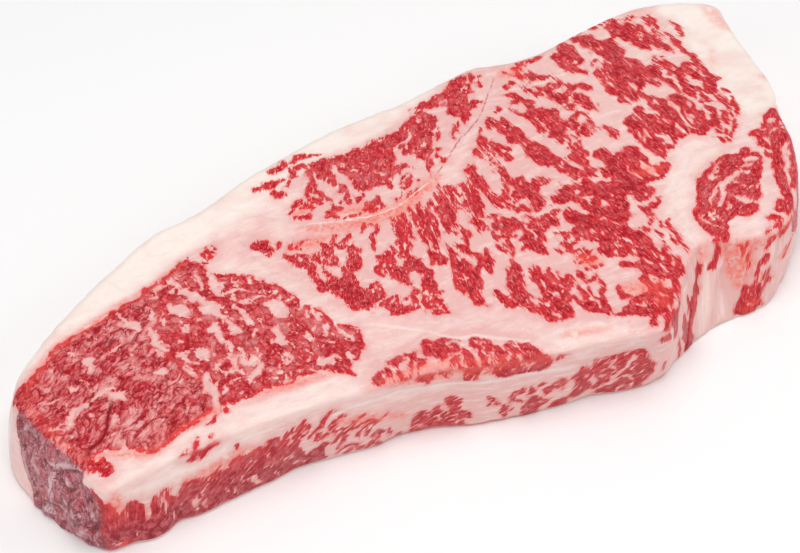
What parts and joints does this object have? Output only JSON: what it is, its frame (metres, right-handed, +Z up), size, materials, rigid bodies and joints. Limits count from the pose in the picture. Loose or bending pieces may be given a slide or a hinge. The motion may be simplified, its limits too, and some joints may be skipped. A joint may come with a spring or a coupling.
{
  "type": "raw beef steak",
  "caption": "Thick raw beef steak cut across several marbled muscles, with a fat layer along its back and right end and a notch at the front right.",
  "frame": {"origin": "under the middle of the steak, on the flat cut face it rests on", "axes": "+Z up through the thickness, +X along the length from the narrow end to the wide end, +Y towards the layer of outer fat"},
  "size_m": [0.2567, 0.1209, 0.0269],
  "materials": {
    "beef": "moist raw meat, soft satin gloss"
  },
  "bodies": {
    "root": {"steak": "beef"}
  },
  "joints": []
}
